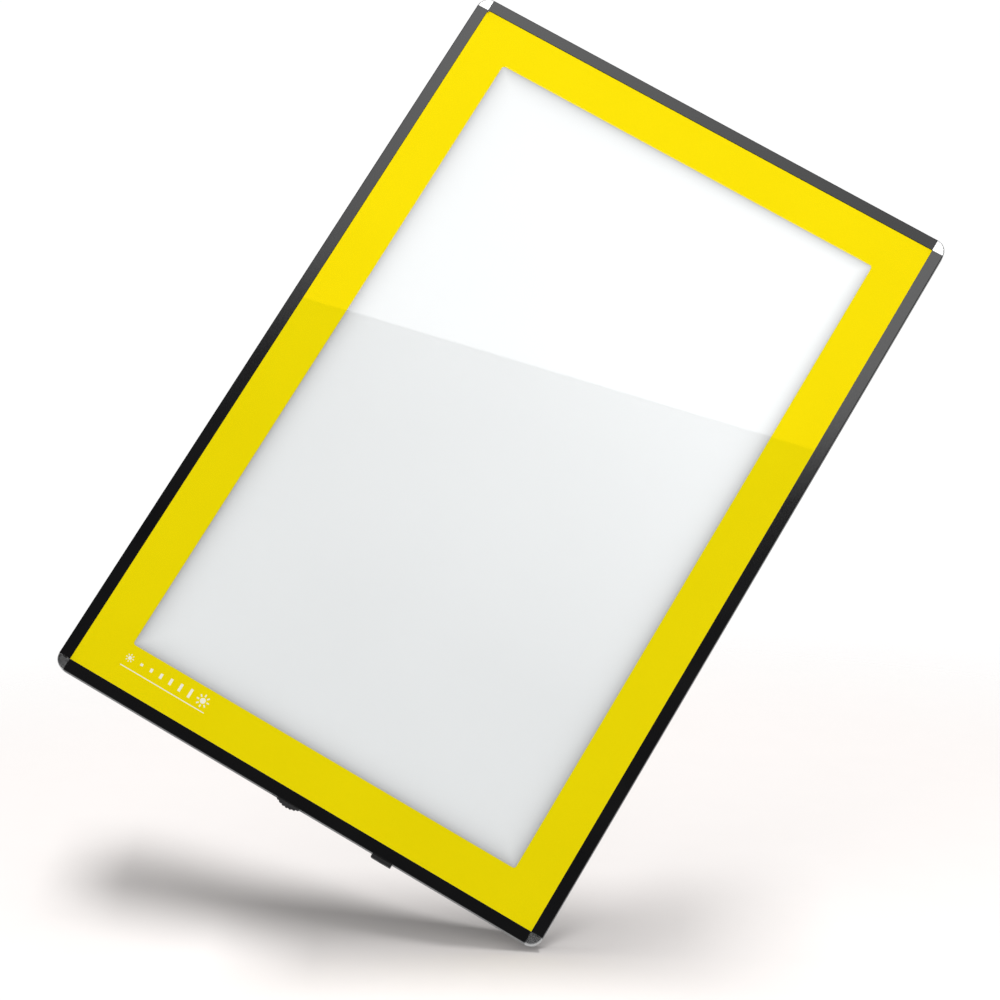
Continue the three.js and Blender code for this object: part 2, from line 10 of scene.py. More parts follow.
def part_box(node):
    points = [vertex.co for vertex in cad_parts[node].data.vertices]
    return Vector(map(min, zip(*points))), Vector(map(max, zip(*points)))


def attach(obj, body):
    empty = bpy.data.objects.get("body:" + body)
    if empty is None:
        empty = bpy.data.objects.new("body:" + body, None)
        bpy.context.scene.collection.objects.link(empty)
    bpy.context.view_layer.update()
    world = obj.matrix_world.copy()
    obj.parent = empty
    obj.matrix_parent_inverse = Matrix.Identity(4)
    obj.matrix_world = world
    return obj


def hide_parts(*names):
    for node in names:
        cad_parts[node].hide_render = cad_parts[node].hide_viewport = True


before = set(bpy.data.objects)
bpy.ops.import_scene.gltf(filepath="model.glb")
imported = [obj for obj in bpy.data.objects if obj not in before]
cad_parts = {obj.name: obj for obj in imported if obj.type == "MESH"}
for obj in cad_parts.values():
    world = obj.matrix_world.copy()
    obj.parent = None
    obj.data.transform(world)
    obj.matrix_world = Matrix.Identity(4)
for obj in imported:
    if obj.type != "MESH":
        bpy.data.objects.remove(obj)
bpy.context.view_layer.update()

MM = 0.001
QUARTER = math.pi / 2

# ---- The camera's view of the panel, and where the studio stands around it ----

VIEW_AZIMUTH = 32.9
VIEW_ELEVATION = 74.32
VIEW_ROLL = -2.31
VIEW_LENS = 106.9
VIEW_DISTANCE = 1.8905
VIEW_AIM = (0.0119, -0.0310)  # on the plane of the rails' tops
EYE_TOLERANCE = 0.2

# The softbox's reflection ends on a straight line across the face. These are the places where that
# line meets the window's left and right edges.
SHEEN_LEFT_Y = 0.0292
SHEEN_RIGHT_Y = 0.0940
SOFTBOX_HEIGHT = 1.7
SOFTBOX_SIZE = (1.75, 1.2)
SOFTBOX_RADIANCE = 2.75

# The floor that the panel's front right corner stands on, tilted from the panel's own axes.
LEAN_FLOOR_UP = Vector((-0.448, 0.764, 0.464)).normalized()
LEAN_REACH = 0.95
LEAN_FLOOR_COLOUR = (0.60, 0.576, 0.566)
FLAT_REACH = 4.0
FLAT_FLOOR_COLOUR = (0.86, 0.86, 0.86)
LEAN_LIGHT_HEIGHT = 1.6
LEAN_LIGHT_SIZE = (0.8, 2.0)
LEAN_LIGHT_RADIANCE = 7.8

# How bright the studio is. Reflections see a wall that is dark round the camera's mirror direction.
BACKDROP_LEVEL = 1.02
WALL_LEVEL = 0.45
DARK_WALL_LEVEL = 0.03
BELOW_LEVEL = 0.5
FILL_FROM_BELOW = 0.30
FILL_FROM_ABOVE = 0.89

# Unseen cards that shade the leaning floor, as pairs of edge points: across, deep and high from the
# corner that touches it.
NEAR_CARD = (
    ((0.003, -0.012, 0.002), (0.000, 0.020, 0.003)),
    ((-0.058, -0.010, 0.028), (-0.060, 0.055, 0.028)),
    ((-0.120, 0.001, 0.060), (-0.126, 0.096, 0.060)),
    ((-0.171, 0.023, 0.082), (-0.180, 0.121, 0.082)),
    ((-0.224, 0.054, 0.100), (-0.237, 0.160, 0.100)),
    ((-0.272, 0.092, 0.110), (-0.282, 0.178, 0.110)),
)
WIDE_CARD = (
    ((-0.155, -0.026, 0.125), (-0.155, 0.062, 0.125)),
    ((-0.020, -0.031, 0.115), (-0.020, 0.058, 0.115)),
    ((0.050, -0.028, 0.125), (0.050, 0.050, 0.125)),
    ((0.126, -0.008, 0.180), (0.126, 0.050, 0.180)),
)

# ---- Sizes that the pieces share with the frame ----

rail_low, rail_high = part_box("rail_left")
RAIL_W = rail_high.x - rail_low.x
PANEL_T = rail_high.z - rail_low.z
BACK_PLANE = rail_low.z
TOP_PLANE = rail_high.z
HALF_W = -rail_low.x
HALF_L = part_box("rail_rear")[1].y
LIP = 1.0 * MM
RAIL_WALL = 2.0 * MM
WINDOW_HALF = Vector((139.7, 228.6)) * MM
WINDOW_CORNER_R = 2 * MM
SCREW_HEAD_R = 1.6 * MM
SCREW_SHANK_R = 0.8 * MM
SCREW_HEAD_T = 0.8 * MM
WHEEL_T = 2.0 * MM

SIDES = {
    "front": (Vector((0, -HALF_L, BACK_PLANE)), 0),
    "right": (Vector((HALF_W, 0, BACK_PLANE)), QUARTER),
    "rear": (Vector((0, HALF_L, BACK_PLANE)), 2 * QUARTER),
    "left": (Vector((-HALF_W, 0, BACK_PLANE)), -QUARTER),
}
CORNERS = {
    "front_left": (Vector((-HALF_W, -HALF_L, BACK_PLANE)), 0),
    "front_right": (Vector((HALF_W, -HALF_L, BACK_PLANE)), QUARTER),
    "rear_right": (Vector((HALF_W, HALF_L, BACK_PLANE)), 2 * QUARTER),
    "rear_left": (Vector((-HALF_W, HALF_L, BACK_PLANE)), -QUARTER),
}


def placement(spot):
    position, turn = spot
    return Matrix.Translation(position) @ Matrix.Rotation(turn, 4, "Z")


def centre_of(node):
    low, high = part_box(node)
    return (low + high) / 2


# ---- Materials ----


class Shader:
    """A material's node tree, grown one node at a time."""

    def __init__(self, name, data=None):
        self.owner = data or bpy.data.materials.new(name)
        self.owner.use_nodes = True
        self.tree = self.owner.node_tree
        self.tree.nodes.clear()
        self.place = self.node("TexCoord").outputs["Object"]

    def node(self, kind, inputs=None, **settings):
        made = self.tree.nodes.new("ShaderNode" + kind)
        for key, value in settings.items():
            setattr(made, key, value)
        for key, value in (inputs or {}).items():
            self.feed(made.inputs[key], value)
        return made

    def feed(self, socket, value):
        if isinstance(value, bpy.types.NodeSocket):
            self.tree.links.new(value, socket)
        else:
            socket.default_value = value

    def math(self, operation, a, b=0.0):
        return self.node("Math", {0: a, 1: b}, operation=operation).outputs[0]

    def vector(self, operation, a, b=(0, 0, 0)):
        made = self.node("VectorMath", {0: a, 1: b}, operation=operation)
        return made.outputs["Value" if operation in ("DOT_PRODUCT", "LENGTH", "DISTANCE") else 0]

    def blend(self, factor, a, b):
        made = self.node("Mix", {0: factor, 6: a, 7: b}, data_type="RGBA")
        return made.outputs[2]

    def level(self, value, low, high, to_low=0.0, to_high=1.0, smooth=False):
        inputs = {0: value, 1: low, 2: high, 3: to_low, 4: to_high}
        kind = "SMOOTHSTEP" if smooth else "LINEAR"
        return self.node("MapRange", inputs, interpolation_type=kind).outputs[0]

    def vary(self, value, to_low=0.0, to_high=1.0):
        """Spreads the middle of a noise, where most of it lies, over a range of values."""
        return self.level(value, 0.3, 0.7, to_low, to_high)

    def flip(self, value):
        return self.math("SUBTRACT", 1.0, value)

    def noise(self, scale, detail=3.0, stretch=(1, 1, 1), roughness=0.5):
        place = self.node("Mapping", {"Vector": self.place, "Scale": stretch}).outputs[0]
        inputs = {"Vector": place, "Scale": scale, "Detail": detail, "Roughness": roughness}
        return self.node("TexNoise", inputs).outputs[0]

    def cells(self, scale, feature="F1"):
        inputs = {"Vector": self.place, "Scale": scale}
        return self.node("TexVoronoi", inputs, feature=feature).outputs["Distance"]

    def bump(self, height, depth, strength=1.0):
        inputs = {"Height": height, "Distance": depth, "Strength": strength}
        return self.node("Bump", inputs).outputs[0]

    def axes(self):
        return self.node("SeparateXYZ", {0: self.place}).outputs

    def mix(self, share, first, second):
        return self.node("MixShader", {0: share, 1: first, 2: second}).outputs[0]

    def done(self, surface):
        self.node("OutputMaterial", {"Surface": surface})
        return self.owner

    def principled(self, **inputs):
        named = {key.replace("_", " "): value for key, value in inputs.items()}
        return self.done(self.node("BsdfPrincipled", named).outputs[0])


def rgb(red, green, blue):
    return (red, green, blue, 1.0)


COVER_INDEX = 1.36
INK_SHEEN = rgb(1.0, 0.58, 0.004)
GRAZING_SHEEN = rgb(1.0, 0.87, 0.08)


def top_polish(s, along_y):
    """The specular level of the rails' tops, duller down the left rail and along the rear one."""
    x, y, _ = s.axes()
    if not along_y:
        return s.level(x, -0.17, 0.13, 0.56, 0.31)
    left = s.level(y, 0.03, 0.25, 0.36, 0.56)
    right = s.math("MULTIPLY", s.math("GREATER_THAN", x, 0.0), 0.57)
    return s.math("MAXIMUM", left, right)


def anodised(name, along_y):
    """Satin black anodising over an extrusion, with faint die lines along its length, and a brighter
    sheen on its top than on its sides."""
    s = Shader(name)
    across = (1, 0.004, 1) if along_y else (0.004, 1, 1)
    lines = s.noise(2600, 2.0, across)
    grain = s.noise(5200, 2.0)
    cloud = s.noise(22, 3.0)
    shade = s.vary(s.math("ADD", s.math("MULTIPLY", cloud, 0.6), s.math("MULTIPLY", grain, 0.4)))
    height = s.math("ADD", s.math("MULTIPLY", lines, 0.6), grain)
    _, _, upward = s.node("SeparateXYZ", {0: s.node("NewGeometry").outputs["Normal"]}).outputs
    return s.principled(
        Base_Color=s.blend(shade, rgb(0.0045, 0.0045, 0.0048), rgb(0.0075, 0.0075, 0.008)),
        Roughness=s.level(s.math("ADD", grain, cloud), 0.7, 1.3, 0.12, 0.17),
        Specular_IOR_Level=s.level(upward, 0.5, 0.95, 0.12, top_polish(s, along_y)),
        Normal=s.bump(height, 0.012 * MM, 0.5),
    )


def clear_moulding(name):
    """Clear moulded plastic: a faint haze, and the strong inner reflection of a thick clear block."""
    s = Shader(name)
    haze = s.noise(420, 3.0)
    rough = s.vary(haze, 0.05, 0.14)
    wave = s.bump(s.noise(260, 2.0), 0.02 * MM, 0.4)
    tint = s.blend(haze, rgb(0.6, 0.605, 0.61), rgb(0.7, 0.705, 0.71))
    surface = {"Roughness": rough, "Normal": wave}
    through = s.node("BsdfRefraction", {"Color": tint, "IOR": 1.2, **surface}).outputs[0]
    back = s.node("BsdfGlossy", {"Color": rgb(1, 1, 1), **surface}).outputs[0]
    facing = s.node("LayerWeight", {"Blend": 0.5, "Normal": wave}).outputs["Facing"]
    return s.done(s.mix(s.level(facing, 0.0, 1.0, 0.46, 0.9), through, back))


def window_distance(s):
    """Distance from a place to the window's rounded outline, above zero inside it."""
    x, y, _ = s.axes()
    inset_x = s.math("SUBTRACT", s.math("ABSOLUTE", x), WINDOW_HALF.x - WINDOW_CORNER_R)
    inset_y = s.math("SUBTRACT", s.math("ABSOLUTE", y), WINDOW_HALF.y - WINDOW_CORNER_R)
    out_x = s.math("MAXIMUM", inset_x, 0.0)
    out_y = s.math("MAXIMUM", inset_y, 0.0)
    outside = s.vector("LENGTH", s.node("CombineXYZ", {0: out_x, 1: out_y}).outputs[0])
    inside = s.math("MINIMUM", s.math("MAXIMUM", inset_x, inset_y), 0.0)
    return s.math("SUBTRACT", WINDOW_CORNER_R, s.math("ADD", outside, inside))


def cover_sheen(s, noise, tint):
    roughness = s.vary(noise, 0.0, 0.012)
    return s.node("BsdfGlossy", {"Color": tint, "Roughness": roughness}).outputs[0]


def clear_cover():
    """The glossy face. The ink just below it draws the sheen that the camera sees over the border."""
    s = Shader("clear_cover")
    over_window = s.level(window_distance(s), -0.05 * MM, 0.05 * MM)
    path = s.node("LightPath").outputs
    unseen = s.flip(s.math("MAXIMUM", path["Is Camera Ray"], path["Is Glossy Ray"]))
    sheen = cover_sheen(s, s.noise(9, 4.0), s.blend(over_window, INK_SHEEN, rgb(1, 1, 1)))
    clear = s.node("BsdfTransparent", {"Color": rgb(0.985, 0.99, 0.99)}).outputs[0]
    behind = s.node("NewGeometry").outputs["Backfacing"]
    index = s.level(behind, 0.0, 1.0, COVER_INDEX, 1 / COVER_INDEX)  # alike from both sides of a face
    fresnel = s.node("Fresnel", {"IOR": index}).outputs[0]
    reflectance = s.math("MULTIPLY", fresnel, s.math("MAXIMUM", over_window, unseen))
    return s.done(s.mix(reflectance, clear, sheen))


def yellow_ink():
    """Screen-printed ink with slight clouding, under the sheen of both faces of the cover."""
    s = Shader("yellow_ink")
    cloud = s.noise(16, 4.0)
    mottle = s.noise(900, 2.0)
    amount = s.level(s.math("ADD", cloud, s.math("MULTIPLY", mottle, 0.1)), 0.35, 0.75)
    inputs = {
        "Base Color": s.blend(amount, rgb(0.875, 0.735, 0.0005), rgb(0.895, 0.755, 0.0008)),
        "Roughness": s.vary(mottle, 0.45, 0.6),
        "Specular IOR Level": 0.02,
        "Normal": s.bump(cloud, 0.02 * MM, 0.1),
    }
    ink = s.node("BsdfPrincipled", inputs).outputs[0]
    passed = s.flip(s.node("Fresnel", {"IOR": COVER_INDEX}).outputs[0])
    returned = s.flip(s.math("MULTIPLY", passed, passed))
    tint = s.blend(s.level(returned, 0.06, 0.4), INK_SHEEN, GRAZING_SHEEN)
    seen = s.node("LightPath").outputs["Is Camera Ray"]
    return s.done(s.mix(s.math("MULTIPLY", returned, seen), ink, cover_sheen(s, cloud, tint)))


def opal_sheet():
    """Opal diffuser with a matt grain. Its colour holds painted shade near the border over it, and
    painted light that makes it brighter to its rear right.
    """
    s = Shader("opal_sheet")
    depth = s.math("MAXIMUM", window_distance(s), 0.0)
    # Painted shade: the white darkens towards the window's edge, in place of the border's shadow on the
    # sheet.
    painted_shade_reach, painted_shade_depth = 5.0 * MM, 0.45
    shade = s.math("EXPONENT", s.math("MULTIPLY", depth, -1 / painted_shade_reach))
    grain = s.noise(2400, 2.0)
    cloud = s.noise(7, 2.0)
    x, y, _ = s.axes()
    # Painted light: the white is made lighter towards the rear right, in place of light falling there.
    rear_right = s.math("MULTIPLY", s.level(x, -0.13, 0.13), s.level(y, -0.13, 0.07))
    plain = s.blend(s.vary(cloud), rgb(0.870, 0.870, 0.873), rgb(0.886, 0.886, 0.889))
    white = s.blend(rear_right, plain, rgb(0.985, 0.985, 0.988))
    # The painted shade near the window's edge is mixed into the white here.
    white_with_painted_shade = s.blend(s.math("MULTIPLY", shade, painted_shade_depth), white, rgb(0.01, 0.008, 0.02))
    return s.principled(
        Base_Color=white_with_painted_shade,
        Roughness=s.vary(grain, 0.5, 0.6),
        Specular_IOR_Level=0.1,
        Normal=s.bump(grain, 0.002 * MM, 0.15),
    )


def moulded(name, dark, light, roughness=0.5, grain_scale=3200, depth=0.02, specular=0.5):
    """Moulded plastic, rubber, foam or ink with a fine texture, depth millimetres deep."""
    s = Shader(name)
    grain = s.noise(grain_scale, 2.0, roughness=0.6)
    cloud = s.noise(60, 3.0)
    return s.principled(
        Base_Color=s.blend(cloud, rgb(*dark), rgb(*light)),
        Roughness=s.vary(grain, roughness - 0.07, roughness + 0.07),
        Specular_IOR_Level=specular,
        Normal=s.bump(grain, depth * MM, 0.6),
    )


def pebbled(name):
    """Black sheet with a pebbled grain, as on the back of a panel."""
    s = Shader(name)
    pebbles = s.cells(1100, "SMOOTH_F1")
    fine = s.noise(5200, 2.0)
    cloud = s.noise(14, 3.0)
    height = s.math("SUBTRACT", s.math("MULTIPLY", fine, 0.25), pebbles)
    return s.principled(
        Base_Color=s.blend(cloud, rgb(0.012, 0.012, 0.0125), rgb(0.02, 0.02, 0.021)),
        Roughness=s.level(s.math("ADD", fine, cloud), 0.7, 1.3, 0.48, 0.6),
        Normal=s.bump(height, 0.09 * MM, 0.7),
    )


def metal(name, dark, light, roughness, lines=(1, 1, 1)):
    """Bright metal with fine turning or rolling marks."""
    s = Shader(name)
    marks = s.noise(2800, 3.0, lines)
    return s.principled(
        Base_Color=s.blend(marks, rgb(*dark), rgb(*light)),
        Metallic=1.0,
        Roughness=s.vary(marks, roughness - 0.06, roughness + 0.06),
        Normal=s.bump(marks, 0.006 * MM, 0.5),
    )


def solder_mask():
    """Green solder mask over copper tracks."""
    s = Shader("solder_mask")
    tracks = s.cells(190, "DISTANCE_TO_EDGE")
    copper = s.level(tracks, 0.05, 0.08, 1.0, 0.0)
    fine = s.noise(1500, 2.0)
    colour = s.blend(copper, rgb(0.008, 0.07, 0.022), rgb(0.03, 0.17, 0.05))
    return s.principled(
        Base_Color=s.blend(s.math("MULTIPLY", fine, 0.2), colour, rgb(0.01, 0.1, 0.03)),
        Roughness=s.vary(fine, 0.25, 0.4),
        Normal=s.bump(copper, 0.03 * MM, 0.6),
    )


def guide_sheet():
    """Clear acrylic light guide with its printed dots, which grow away from the LEDs."""
    s = Shader("guide_acrylic")
    x, _, _ = s.axes()
    dots = s.cells(420)
    reach = s.level(s.math("ABSOLUTE", x), 0.0, HALF_W, 0.46, 0.2)
    dot = s.level(s.math("SUBTRACT", reach, dots), 0.0, 0.04)
    return s.principled(
        Base_Color=s.blend(dot, rgb(0.8, 0.86, 0.87), rgb(0.95, 0.95, 0.95)),
        Transmission_Weight=s.math("MULTIPLY", s.flip(dot), 0.7),
        IOR=1.49,
        Roughness=s.level(dot, 0.0, 1.0, 0.08, 0.6),
    )


def make_moulded():
    black = ((0.01, 0.01, 0.0105), (0.018, 0.018, 0.019))
    white = ((0.72, 0.72, 0.7), (0.82, 0.82, 0.8))
    mark = ((0.86, 0.86, 0.72), (0.93, 0.93, 0.8))
    film = ((0.84, 0.84, 0.83), (0.9, 0.9, 0.89))
    wheel = ((0.02, 0.02, 0.021), (0.032, 0.032, 0.034))
    rubber = ((0.014, 0.014, 0.0145), (0.024, 0.024, 0.025))
    foam = ((0.03, 0.03, 0.031), (0.07, 0.07, 0.072))
    chip = ((0.012, 0.012, 0.013), (0.02, 0.02, 0.021))
    tan = ((0.42, 0.27, 0.1), (0.5, 0.34, 0.14))
    red = ((0.38, 0.012, 0.01), (0.48, 0.02, 0.015))
    dark = ((0.01, 0.01, 0.01), (0.018, 0.018, 0.018))
    phosphor = ((0.75, 0.62, 0.12), (0.85, 0.72, 0.2))
    wire = {"roughness": 0.4, "grain_scale": 1800, "depth": 0.01}
    return {
        "mark": moulded("white_ink", *mark, grain_scale=2000, depth=0.003, specular=0.05),
        "film": moulded("white_film", *film, roughness=0.4, grain_scale=1400, depth=0.01),
        "white": moulded("white_moulding", *white),
        "black": moulded("black_moulding", *black, roughness=0.42),
        "wheel": moulded("wheel_moulding", *wheel, roughness=0.4),
        "rubber": moulded("foot_rubber", *rubber, 0.75, grain_scale=2400, depth=0.05, specular=0.3),
        "foam": moulded("foam", *foam, 0.9, grain_scale=1500, depth=0.2, specular=0.2),
        "chip": moulded("chip_resin", *chip, roughness=0.45, grain_scale=4200),
        "tan": moulded("capacitor_resin", *tan, roughness=0.4),
        "red": moulded("red_insulation", *red, **wire),
        "dark": moulded("black_insulation", *dark, **wire),
        "phosphor": moulded("led_phosphor", *phosphor, 0.35, grain_scale=3000, depth=0.01),
    }


def make_metals():
    steel = ((0.42, 0.43, 0.44), (0.62, 0.63, 0.64))
    brass = ((0.6, 0.42, 0.16), (0.75, 0.56, 0.24))
    copper = ((0.5, 0.2, 0.08), (0.7, 0.32, 0.14))
    return {
        "steel": metal("zinc_steel", *steel, roughness=0.3),
        "brass": metal("sprung_brass", *brass, roughness=0.28, lines=(1, 0.05, 1)),
        "copper": metal("wound_copper", *copper, roughness=0.3),
    }


def make_materials():
    return {
        "anodised_x": anodised("anodised_x", along_y=False),
        "anodised_y": anodised("anodised_y", along_y=True),
        "corner": clear_moulding("corner_plastic"),
        "cover": clear_cover(),
        "ink": yellow_ink(),
        "opal": opal_sheet(),
        "guide": guide_sheet(),
        "back": pebbled("pebbled_back"),
        "board": solder_mask(),
        **make_moulded(),
        **make_metals(),
    }


materials = make_materials()

# ---- Mesh helpers ----


def mesh_object(name, bm, look=None):
    mesh = bpy.data.meshes.new(name)
    bmesh.ops.recalc_face_normals(bm, faces=bm.faces)
    bm.to_mesh(mesh)
    bm.free()
    obj = bpy.data.objects.new(name, mesh)
    bpy.context.scene.collection.objects.link(obj)
    if look:
        mesh.materials.append(materials[look])
    return obj


def bake_modifiers(obj):
    graph = bpy.context.evaluated_depsgraph_get()
    mesh = bpy.data.meshes.new_from_object(obj.evaluated_get(graph))
    obj.modifiers.clear()
    obj.data = mesh


def combine(obj, shapes, operation="DIFFERENCE"):
    """Cuts the shapes out of obj, or joins them to it."""
    tools = [mesh_object("tool", shape) for shape in shapes]
    for tool in tools:
        modifier = obj.modifiers.new("combine", "BOOLEAN")
        modifier.operation = operation
        modifier.solver = "EXACT"
        modifier.object = tool
    bake_modifiers(obj)
    for tool in tools:
        bpy.data.objects.remove(tool)


def soften(obj, width, segments=2, angle=32):
    """Rounds the sharp edges and shades the rest smooth."""
    if width:
        modifier = obj.modifiers.new("round", "BEVEL")
        modifier.width = width
        modifier.segments = segments
        modifier.limit_method = "ANGLE"
        modifier.angle_limit = math.radians(angle)
        bake_modifiers(obj)
    obj.data.shade_smooth()
    obj.data.set_sharp_from_angle(angle=math.radians(angle))
    weighted = obj.modifiers.new("flat faces stay flat", "WEIGHTED_NORMAL")
    weighted.keep_sharp = True
    weighted.weight = 100
    bake_modifiers(obj)


def settle(obj, body, node):
    """Makes a finished piece stand for its CAD node."""
    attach(obj, body)
    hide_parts(node)


def moved(bm, matrix):
    bmesh.ops.transform(bm, matrix=matrix, verts=bm.verts)
    return bm


def hide_from(obj, *sights):
    for sight in sights:
        setattr(obj, "visible_" + sight, False)


def filleted(corners):
    """An outline whose corners, listed as (x, y, radius), are rounded."""
    segments = 5
    outline = []
    for i, (x, y, radius) in enumerate(corners):
        here = Vector((x, y))
        if not radius:
            outline.append(here)
            continue
        before = (Vector(corners[i - 1][:2]) - here).normalized()
        after = (Vector(corners[(i + 1) % len(corners)][:2]) - here).normalized()
        half = before.angle(after) / 2
        reach = radius / math.tan(half)
        centre = here + (before + after).normalized() * (radius / math.sin(half))
        start = here + before * reach - centre
        end = here + after * reach - centre
        sweep = start.angle_signed(end)
        for k in range(segments + 1):
            outline.append(centre + Matrix.Rotation(-sweep * k / segments, 2) @ start)
    return outline


def rounded_rect(width, height, radius):
    x, y = width / 2, height / 2
    return filleted([(x, -y, radius), (x, y, radius), (-x, y, radius), (-x, -y, radius)])


def stack(rings, looped=False):
    """A skin through rings that all have the same number of points, closed at its ends or looped."""
    bm = bmesh.new()
    rows = [[bm.verts.new(point) for point in ring] for ring in rings]
    pairs = list(zip(rows, rows[1:]))
    if looped:
        pairs.append((rows[-1], rows[0]))
    for low, high in pairs:
        for i in range(len(low)):
            j = (i + 1) % len(low)
            bm.faces.new((low[i], low[j], high[j], high[i]))
    if not looped:
        bm.faces.new(list(reversed(rows[0])))
        bm.faces.new(rows[-1])
    return bm


def prism(outline, low, high):
    return stack([[(p.x, p.y, z) for p in outline] for z in (low, high)])


def rounding(edge, segments):
    """The (inset, height) steps of a quarter round, from the face up to the side."""
    angles = [QUARTER * i / segments for i in range(segments + 1)]
    return [(edge * (1 - math.sin(a)), edge * (1 - math.cos(a))) for a in angles]


def soft_slab(width, height, radius, depth, edge):
    """A rounded rectangle from 0 to depth, whose front and back edges are rounded too."""
    lower = rounding(edge, 3)
    upper = [(inset, depth - z) for inset, z in reversed(lower)]
    rings = []
    for inset, z in lower + upper:
        outline = rounded_rect(width - 2 * inset, height - 2 * inset, radius - inset)
        rings.append([(p.x, p.y, z) for p in outline])
    return stack(rings)


def block(low, high):
    size = Vector(high) - Vector(low)
    centre = (Vector(high) + Vector(low)) / 2
    bm = bmesh.new()
    bmesh.ops.create_cube(bm, size=1.0, matrix=Matrix.Translation(centre) @ Matrix.Diagonal((*size, 1)))
    return bm


def turned(profile, segments=48):
    """A closed profile of (radius, height) pairs that starts and ends on the axis, turned about it."""
    rings = []
    for radius, z in profile[1:-1]:
        angles = [2 * math.pi * i / segments for i in range(segments)]
        rings.append([(radius * math.cos(a), radius * math.sin(a), z) for a in angles])
    return stack(rings)


def drum(radius, low, high, segments=48):
    return turned([(0, low), (radius, low), (radius, high), (0, high)], segments)


def merged(parts):
    """One bmesh out of several."""
    whole = bmesh.new()
    for part in parts:
        mesh = bpy.data.meshes.new("part")
        part.to_mesh(mesh)
        part.free()
        whole.from_mesh(mesh)
        bpy.data.meshes.remove(mesh)
    return whole


# ---- Rails ----


def rail_outline():
    edge, nose = 0.6 * MM, 0.18 * MM
    return filleted(
        [
            (RAIL_W, 0, nose),
            (RAIL_W, LIP, nose),
            (RAIL_WALL, LIP, 0),
            (RAIL_WALL, PANEL_T - LIP, 0),
            (RAIL_W, PANEL_T - LIP, nose),
            (RAIL_W, PANEL_T, nose),
            (0, PANEL_T, edge),
            (0, 0, edge),
        ]
    )


def countersink(node):
    """A tool for the countersunk hole around a corner screw."""
    clearance = 0.15 * MM
    head, shank, taper = (size + clearance for size in (SCREW_HEAD_R, SCREW_SHANK_R, SCREW_HEAD_T))
    low, high = -MM, LIP + MM
    profile = [(0, low), (head, low), (head, clearance), (shank, taper), (shank, high), (0, high)]
    centre = centre_of(node)
    return moved(turned(profile, 32), Matrix.Translation((centre.x, centre.y, BACK_PLANE)))


def inside_plan(point, node):
    low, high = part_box(node)
    return low.x < point.x < high.x and low.y < point.y < high.y


def wheel_slot():
    low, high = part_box("dimmer_wheel")
    half, clearance = 12 * MM, 0.25 * MM
    middle, face = (low.x + high.x) / 2, -HALF_L
    start = (middle - half, face - MM, high.z - WHEEL_T - clearance)
    return block(start, (middle + half, face + RAIL_WALL + MM, high.z + clearance))


def socket_hole():
    low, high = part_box("socket_body")
    face, clearance = -HALF_L, 0.2 * MM
    start = (low.x - clearance, face - MM, BACK_PLANE + LIP)
    return block(start, (high.x + clearance, face + RAIL_WALL + MM, high.z + clearance))


def build_rails():
    screws = [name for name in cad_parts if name.startswith("screw_")]
    for side, spot in SIDES.items():
        node = f"rail_{side}"
        low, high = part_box(node)
        along_y = side in ("left", "right")
        half = (high.y - low.y if along_y else high.x - low.x) / 2
        ends = [[(x, p.x, p.y) for p in rail_outline()] for x in (-half, half)]
        look = "anodised_y" if along_y else "anodised_x"
        rail = mesh_object(f"{side}_rail", moved(stack(ends), placement(spot)), look)
        openings = [countersink(name) for name in screws if inside_plan(centre_of(name), node)]
        if side == "front":
            openings += [wheel_slot(), socket_hole()]
        combine(rail, openings)
        soften(rail, 0.1 * MM)
        hide_from(rail, "diffuse")  # the lips don't dim the print beside them
        settle(rail, "panel", node)


# ---- Corner blocks and their screws ----


def quarter_ring(radius, z, steps=20):
    """The outline, at one height, of a quarter drum about the rails' inner corner."""
    face = RAIL_W - 0.05 * MM
    ring = []
    for i in range(steps + 1):
        angle = math.pi + QUARTER * i / steps
        x = RAIL_W + radius * math.cos(angle)
        y = RAIL_W + radius * math.sin(angle)
        ring.append((min(x, face), min(y, face), z))
    return ring + [(face, face, z)]


def corner_bmesh():
    rings = [(RAIL_W - inset, z) for inset, z in rounding(0.9 * MM, 5)]
    rings += [(radius, PANEL_T - z) for radius, z in reversed(rings)]
    return stack([quarter_ring(radius, z) for radius, z in rings])


def build_corners():
    """Each block has a tongue that runs into the rail on either side, with a screw's pilot hole."""
    tongue_w, tongue_l, gap = 2.2 * MM, 14 * MM, 0.1 * MM
    near = RAIL_WALL + 0.15 * MM
    low, high = LIP + gap, PANEL_T - LIP - gap
    start, end = RAIL_W - MM, RAIL_W + tongue_l
    along, middle = RAIL_W + 8 * MM, near + tongue_w / 2
    pilot_r, pilot_top = 0.85 * MM, 5.3 * MM
    for corner, spot in CORNERS.items():
        body = mesh_object(f"corner_block_{corner}", corner_bmesh(), "corner")
        tongue_x = block((start, near, low), (end, near + tongue_w, high))
        tongue_y = block((near, start, low), (near + tongue_w, end, high))
        combine(body, [tongue_x, tongue_y], "UNION")
        pilot_places = ((along, middle, 0), (middle, along, 0))
        pilots = [drum(pilot_r, -MM, pilot_top, 24) for _ in pilot_places]
        combine(body, [moved(bm, Matrix.Translation(at)) for bm, at in zip(pilots, pilot_places)])
        body.data.transform(placement(spot))
        soften(body, 0.12 * MM, 2, 40)
        settle(body, "panel", f"corner_{corner}")


def screw_bmesh():
    """A countersunk screw, head down, with a rolled thread."""
    head, shank, thick, length = SCREW_HEAD_R, SCREW_SHANK_R, SCREW_HEAD_T, 5 * MM
    rim, land = 0.05 * MM, 0.12 * MM
    profile = [(0, rim), (head - 0.08 * MM, rim), (head, rim + land / 2), (head, rim + land)]
    profile.append((shank, thick))
    root, pitch, turns = shank * 0.78, 0.5 * MM, 7
    for i in range(turns):
        z = thick + 0.3 * MM + i * pitch
        profile += [(root, z), (shank, z + pitch * 0.4), (root, z + pitch * 0.8)]
    profile += [(shank * 0.4, length), (0, length)]
    return turned(profile, 32)


